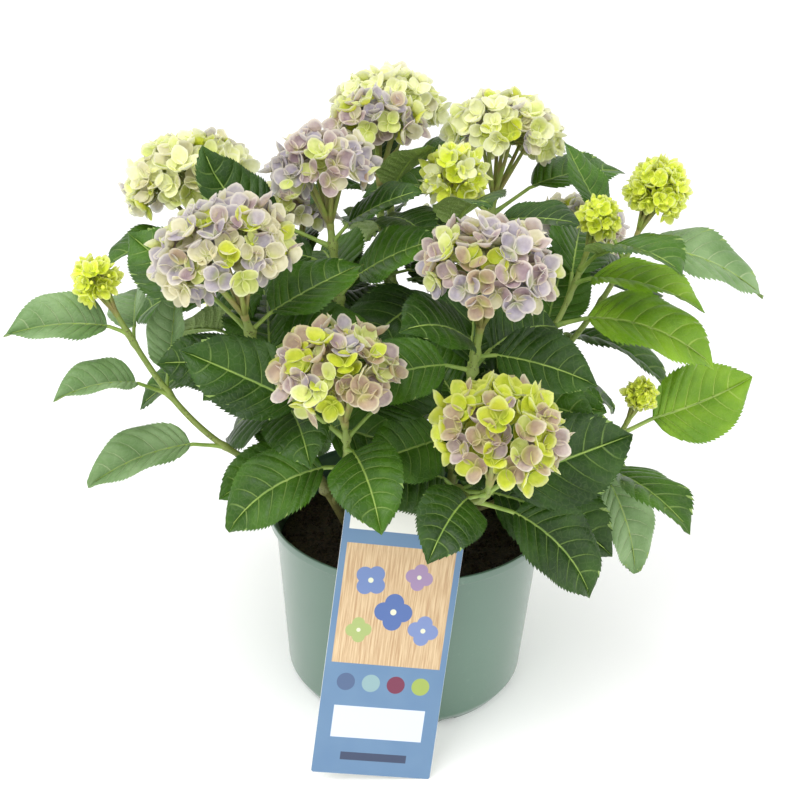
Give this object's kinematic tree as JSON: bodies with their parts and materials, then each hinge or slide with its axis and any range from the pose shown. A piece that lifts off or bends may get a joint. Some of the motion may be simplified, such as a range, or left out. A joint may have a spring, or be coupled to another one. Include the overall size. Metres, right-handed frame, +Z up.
{
  "type": "hydrangea shrub in a pot",
  "caption": "Flowering hydrangea shrub with domed flower heads and broad toothed leaves, standing in a round nursery pot with a blank care card against its rim.",
  "frame": {"origin": "middle of the pot's flat underside, on the surface the pot stands on", "axes": "+Z up the pot's axis, -Y towards the side where the care card leans, +X to the right of a viewer who faces the card"},
  "size_m": [0.5419, 0.5062, 0.4522],
  "materials": {
    "pot": "satin sage-green moulded plastic",
    "soil": "dark moist peat and bark",
    "card": "coated printed card",
    "cane": "green stems with darker specks",
    "leaf": "quilted, softly glossy",
    "bloom": "matt, mauve to cream",
    "bud": "matt, yellow-green"
  },
  "bodies": {
    "root": {"pot": "pot", "soil": "soil", "care_card": "card", "cane_02": "cane", "leaves_02": "leaf", "bloom_02": "bloom", "cane_03": "cane", "leaves_03": "leaf", "bloom_03": "bloom", "cane_05": "cane", "leaves_05": "leaf", "bloom_05": "bloom", "cane_06": "cane", "leaves_06": "leaf", "bloom_06": "bloom", "cane_08": "cane", "leaves_08": "leaf", "bloom_08": "bloom", "branch_01": "cane", "leaves_01": "leaf", "bloom_01": "bloom", "branch_04": "cane", "leaves_04": "leaf", "bloom_04": "bloom", "branch_07": "cane", "leaves_07": "leaf", "bud_07": "bud", "branch_09": "cane", "leaves_09": "leaf", "bloom_09": "bloom", "branch_10": "cane", "leaves_10": "leaf", "bloom_10": "bloom", "branch_11": "cane", "leaves_11": "leaf", "bud_11": "bud", "branch_12": "cane", "leaves_12": "leaf", "bud_12": "bud", "branch_13": "cane", "leaves_13": "leaf", "bud_13": "bud", "branch_14": "cane", "leaves_14": "leaf", "bud_14": "bud", "branch_15": "cane", "leaves_15": "leaf", "bloom_15": "bloom", "branch_16": "cane", "leaves_16": "leaf", "bloom_16": "bloom", "branch_17": "cane", "leaves_17": "leaf", "bloom_17": "bloom", "branch_18": "cane", "leaves_18": "leaf", "bud_18": "bud"}
  },
  "joints": []
}
